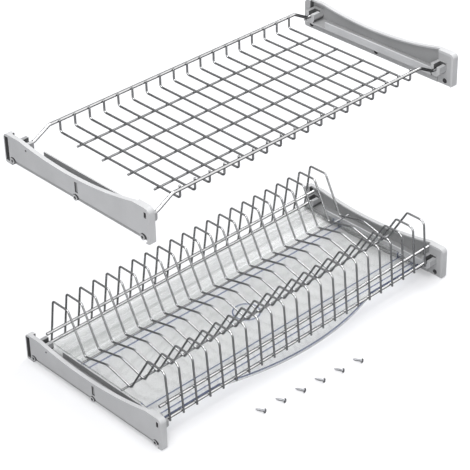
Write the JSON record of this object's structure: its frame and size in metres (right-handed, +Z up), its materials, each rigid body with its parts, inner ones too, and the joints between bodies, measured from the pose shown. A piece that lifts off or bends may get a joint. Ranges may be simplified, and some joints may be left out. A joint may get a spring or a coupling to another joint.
{
  "type": "cabinet dish drainer",
  "caption": "Dish drainer for a wall cupboard: a plate rack over a pull-out drip tray and a glass rack above it, wire racks that rest in screw-on plastic side brackets.",
  "frame": {"origin": "middle of the footprint at the level that the lower brackets stand on", "axes": "+X along the cupboard's width to the right as seen from its front, +Y to the back of the cupboard, +Z up; the front is at -Y"},
  "size_m": [0.564, 0.341, 0.37],
  "materials": {
    "bracket": "satin moulded plastic, silver grey",
    "rail": "bright chrome plate",
    "wire": "chrome plate",
    "tray": "clear, very slightly blue",
    "screw": "bright zinc plate"
  },
  "bodies": {
    "brackets": {"lower_left_bracket": "bracket", "lower_right_bracket": "bracket", "upper_left_bracket": "bracket", "upper_right_bracket": "bracket", "mounting_screws": "screw"},
    "glass_rack": {"glass_rack_rear_rail": "rail", "glass_rack_front_rail": "rail", "glass_rack_floor_wire_1": "wire", "glass_rack_floor_wire_2": "wire", "glass_rack_floor_wire_3": "wire", "glass_rack_floor_wire_4": "wire", "glass_wire_01": "wire", "glass_wire_02": "wire", "glass_wire_03": "wire", "glass_wire_04": "wire", "glass_wire_05": "wire", "glass_wire_06": "wire", "glass_wire_07": "wire", "glass_wire_08": "wire", "glass_wire_09": "wire", "glass_wire_10": "wire", "glass_wire_11": "wire", "glass_wire_12": "wire", "glass_wire_13": "wire", "glass_wire_14": "wire", "glass_wire_15": "wire", "glass_wire_16": "wire", "glass_wire_17": "wire", "glass_wire_18": "wire"},
    "plate_rack": {"plate_rack_rear_rail": "rail", "plate_rack_front_rail": "rail", "plate_rack_rear_upper_wire": "rail", "plate_rack_front_upper_wire": "rail", "plate_rack_rear_floor_wire": "wire", "plate_rack_front_floor_wire": "wire", "plate_wire_01": "wire", "plate_wire_02": "wire", "plate_wire_03": "wire", "plate_wire_04": "wire", "plate_wire_05": "wire", "plate_wire_06": "wire", "plate_wire_07": "wire", "plate_wire_08": "wire", "plate_wire_09": "wire", "plate_wire_10": "wire", "plate_wire_11": "wire", "plate_wire_12": "wire", "plate_wire_13": "wire", "plate_wire_14": "wire", "plate_wire_15": "wire", "plate_wire_16": "wire", "plate_wire_17": "wire", "plate_wire_18": "wire", "plate_wire_19": "wire", "plate_wire_20": "wire", "plate_wire_21": "wire", "plate_wire_22": "wire"},
    "drip_tray": {"drip_tray": "tray"}
  },
  "joints": [
    {"name": "glass_rack_lift", "type": "slide", "parent": "brackets", "child": "glass_rack", "axis": [0, 0, 1], "range_m": [0, 0.1]},
    {"name": "plate_rack_lift", "type": "slide", "parent": "brackets", "child": "plate_rack", "axis": [0, 0, 1], "range_m": [0, 0.12]},
    {"name": "drip_tray_slide", "type": "slide", "parent": "brackets", "child": "drip_tray", "axis": [0, -1, 0], "range_m": [0, 0.27]}
  ]
}
